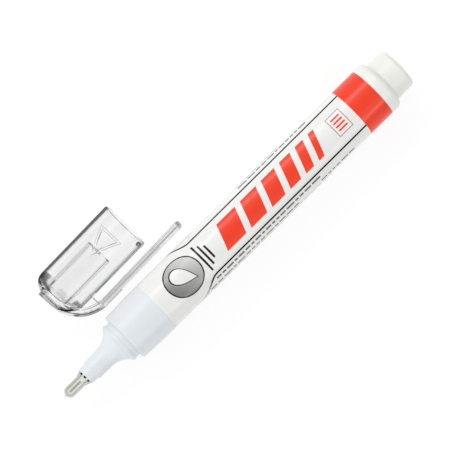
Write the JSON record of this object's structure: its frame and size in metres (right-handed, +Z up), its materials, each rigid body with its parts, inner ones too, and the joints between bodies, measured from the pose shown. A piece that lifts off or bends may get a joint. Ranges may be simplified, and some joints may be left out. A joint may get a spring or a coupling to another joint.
{
  "type": "correction pen",
  "caption": "White squeeze correction pen with a metal valve tip, flared nozzle and red-banded barrel, lying beside its clear clip cap.",
  "frame": {"origin": "on the table, under the middle of the box round the pen and the cap", "axes": "+X along the pen from the tip to the tail, +Y from the pen towards the cap, +Z up"},
  "size_m": [0.1282, 0.037, 0.0156],
  "materials": {
    "barrel_plastic": "satin squeeze-bottle plastic",
    "label_film": "glossy printed film",
    "section_plastic": "satin moulded plastic",
    "tip_metal": "turned, polished",
    "needle_metal": "ground",
    "spring_wire": "drawn wire",
    "seat_plastic": "moulded",
    "ball_steel": "ground and polished",
    "cap_clear": "clear, polished",
    "seal_clear": "clear"
  },
  "bodies": {
    "pen": {"barrel": "barrel_plastic", "label": "label_film", "front_section": "section_plastic", "metal_tip": "tip_metal", "spring_seat": "seat_plastic", "valve_spring": "spring_wire"},
    "needle": {"valve_needle": "needle_metal"},
    "ball": {"mixing_ball": "ball_steel"},
    "cap": {"cap_shell": "cap_clear", "cap_seal": "seal_clear"}
  },
  "joints": [
    {"name": "needle_press", "type": "slide", "parent": "pen", "child": "needle", "axis": [1, 0, 0], "range_m": [0, 0.0004], "stiffness_N_per_m": 200, "springref_m": -0.0025, "deforming": ["valve_spring"]},
    {"name": "ball_rattle", "type": "slide", "parent": "pen", "child": "ball", "axis": [1, 0, 0], "range_m": [-0.0354, 0.0389]},
    {"name": "cap_slide", "type": "slide", "parent": "pen", "child": "cap", "axis": [0.9997, 0.0227, 0], "range_m": [-0.0465, 0]}
  ]
}
